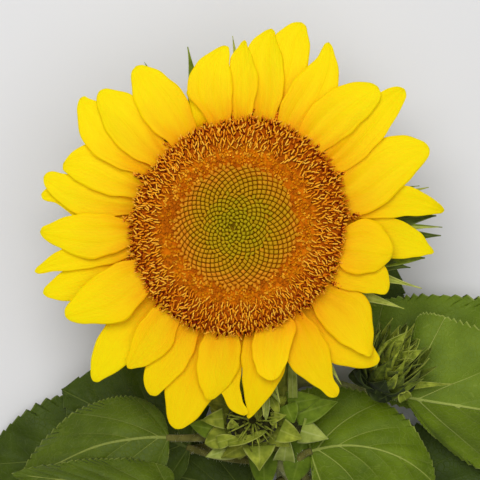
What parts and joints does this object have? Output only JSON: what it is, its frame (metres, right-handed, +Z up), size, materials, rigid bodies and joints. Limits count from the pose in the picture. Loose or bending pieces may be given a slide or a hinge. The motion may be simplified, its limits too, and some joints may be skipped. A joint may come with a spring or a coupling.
{
  "type": "cut flowering top of a sunflower plant",
  "caption": "Open sunflower head on its bent stem, cut and lying on its back, with side buds and heart-shaped leaves around it.",
  "frame": {"origin": "middle of the part's box in plan, on the floor that it lies on", "axes": "+Z up, the way the flower head faces; the stem runs towards -Y, and +X is to the right of a viewer who looks down on the head with the stem towards them"},
  "size_m": [0.3558, 0.3108, 0.1],
  "materials": {
    "ray": "satin yellow petal with faint lengthwise pleats",
    "disc": "matt florets, olive in the middle, brown and gold outside",
    "head_green": "matt, downy green",
    "stem": "ribbed, hairy, pale green",
    "bract": "matt yellow-green with fine hairs",
    "bud": "matt olive green",
    "leaf": "satin green with paler veins"
  },
  "bodies": {
    "root": {"disc": "disc", "front_bud_core": "bud", "front_bud_inner_bracts": "bract", "front_bud_outer_bracts": "bract", "front_bud_stalk": "stem", "inner_bracts": "bract", "leaf_far_left": "leaf", "leaf_left_back": "leaf", "leaf_left_front": "leaf", "leaf_left_low": "leaf", "leaf_low_left": "leaf", "leaf_low_right": "leaf", "leaf_right": "leaf", "leaf_right_back": "leaf", "leaf_right_front": "leaf", "leaf_under_head_left": "leaf", "leaf_under_head_right": "leaf", "neck": "stem", "outer_bracts": "bract", "ray_01": "ray", "ray_02": "ray", "ray_03": "ray", "ray_04": "ray", "ray_05": "ray", "ray_06": "ray", "ray_07": "ray", "ray_08": "ray", "ray_09": "ray", "ray_10": "ray", "ray_11": "ray", "ray_12": "ray", "ray_13": "ray", "ray_14": "ray", "ray_15": "ray", "ray_16": "ray", "ray_17": "ray", "ray_18": "ray", "ray_19": "ray", "ray_20": "ray", "ray_21": "ray", "ray_22": "ray", "ray_23": "ray", "ray_24": "ray", "ray_25": "ray", "ray_26": "ray", "ray_27": "ray", "ray_28": "ray", "ray_29": "ray", "ray_30": "ray", "ray_31": "ray", "ray_32": "ray", "ray_33": "ray", "ray_34": "ray", "receptacle": "head_green", "right_bud_core": "bud", "right_bud_inner_bracts": "bract", "right_bud_outer_bracts": "bract", "right_bud_stalk": "stem", "stem": "stem"}
  },
  "joints": []
}
